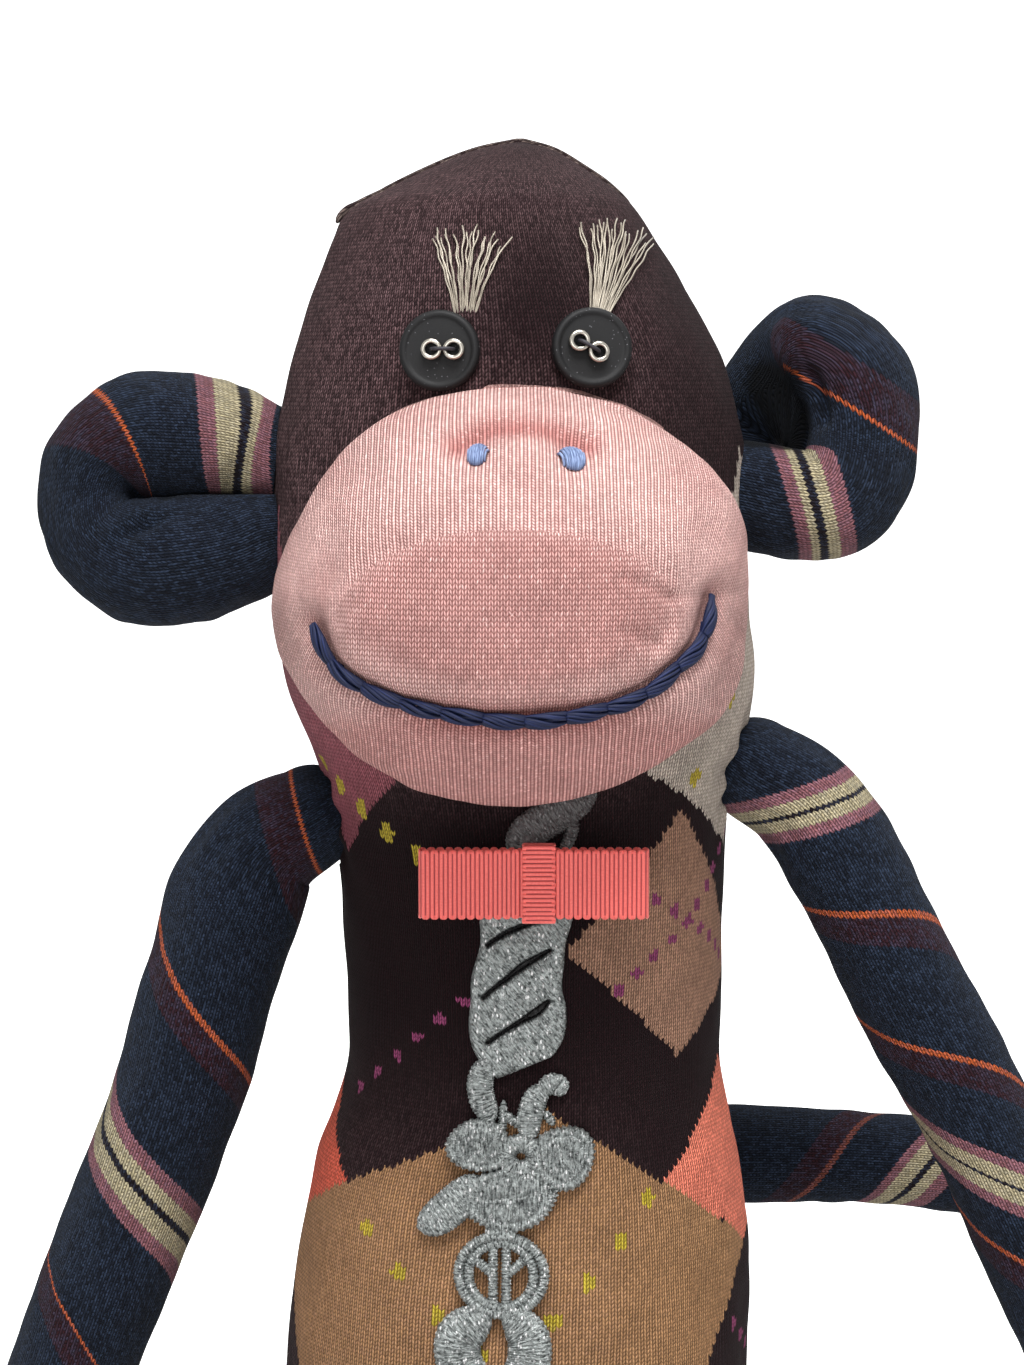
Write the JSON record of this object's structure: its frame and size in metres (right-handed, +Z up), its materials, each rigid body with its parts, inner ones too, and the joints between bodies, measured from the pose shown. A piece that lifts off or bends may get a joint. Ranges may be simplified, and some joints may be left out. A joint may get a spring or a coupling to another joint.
{
  "type": "knitted doll",
  "caption": "Seated stuffed doll sewn from knitted socks, with a round muzzle, curled ears, swinging arms, legs and tail, and a sewn face and trim.",
  "frame": {"origin": "middle of the flat seat under the body", "axes": "+Z up, the doll faces -Y, its own left side is +X"},
  "size_m": [0.3119, 0.3395, 0.3604],
  "materials": {
    "dark_knit": "dark plum stockinette sock knit with argyle diamonds below the face",
    "pink_knit": "pink ribbed and heathered sock heel",
    "navy_striped_knit": "navy sock knit with slanted maroon, orange, rose and cream stripes",
    "fibre": "white polyester fibre filling, hidden",
    "dark_thread": "dark sewing thread",
    "navy_floss": "thick navy embroidery floss in chain stitch",
    "blue_floss": "light blue embroidery floss in satin stitch",
    "silver_floss": "shiny silver-taupe floss",
    "black_button": "matte black moulded button",
    "silver_bead": "polished nickel-plated tube bead",
    "coral_ribbon": "coral grosgrain ribbon with cross ribs",
    "silver_lace": "silver-grey metallic guipure lace"
  },
  "bodies": {
    "root": {"body_sock": "dark_knit", "body_stuffing": "fibre", "closing_stitches": "dark_thread", "toe_seam": "dark_knit", "muzzle_sock": "pink_knit", "muzzle_stuffing": "fibre", "mouth_floss": "navy_floss", "right_nostril": "blue_floss", "left_nostril": "blue_floss", "right_eye_button": "black_button", "right_eye_bead_inner": "silver_bead", "right_eye_bead_outer": "silver_bead", "right_eye_thread": "dark_thread", "left_eye_button": "black_button", "left_eye_bead_inner": "silver_bead", "left_eye_bead_outer": "silver_bead", "left_eye_thread": "dark_thread", "right_brow": "silver_floss", "left_brow": "silver_floss", "right_ear": "navy_striped_knit", "left_ear": "navy_striped_knit", "lace_trim": "silver_lace", "bow_ribbon": "coral_ribbon", "bow_band": "coral_ribbon"},
    "right_shoulder": {"right_shoulder_knot": "dark_thread"},
    "right_arm": {"right_arm_sock": "navy_striped_knit", "right_arm_stuffing": "fibre"},
    "left_shoulder": {"left_shoulder_knot": "dark_thread"},
    "left_arm": {"left_arm_sock": "navy_striped_knit", "left_arm_stuffing": "fibre"},
    "right_leg": {"right_leg_sock": "dark_knit", "right_leg_stuffing": "fibre"},
    "left_leg": {"left_leg_sock": "dark_knit", "left_leg_stuffing": "fibre"},
    "tail": {"tail_sock": "navy_striped_knit", "tail_stuffing": "fibre"}
  },
  "joints": [
    {"name": "right_shoulder_swing", "type": "hinge", "parent": "root", "child": "right_shoulder", "pos_m": [-0.05217, 0, 0.19], "axis": [-1, 0, 0], "range_deg": [-20, 100]},
    {"name": "right_shoulder_raise", "type": "hinge", "parent": "right_shoulder", "child": "right_arm", "pos_m": [-0.05217, 0, 0.19], "axis": [0, 1, 0], "range_deg": [0, 40]},
    {"name": "left_shoulder_swing", "type": "hinge", "parent": "root", "child": "left_shoulder", "pos_m": [0.0588, 0, 0.202], "axis": [-1, 0, 0], "range_deg": [-10, 100]},
    {"name": "left_shoulder_raise", "type": "hinge", "parent": "left_shoulder", "child": "left_arm", "pos_m": [0.0588, 0, 0.202], "axis": [0, -1, 0], "range_deg": [0, 40]},
    {"name": "right_hip_swing", "type": "hinge", "parent": "root", "child": "right_leg", "pos_m": [-0.03, -0.04463, 0.0218], "axis": [-1, 0, 0], "range_deg": [-90, 30]},
    {"name": "left_hip_swing", "type": "hinge", "parent": "root", "child": "left_leg", "pos_m": [0.03, -0.04463, 0.0218], "axis": [-1, 0, 0], "range_deg": [-90, 30]},
    {"name": "tail_swing", "type": "hinge", "parent": "root", "child": "tail", "pos_m": [0.008, 0.05025, 0.084], "axis": [0, 0, 1], "range_deg": [0, 35]}
  ]
}
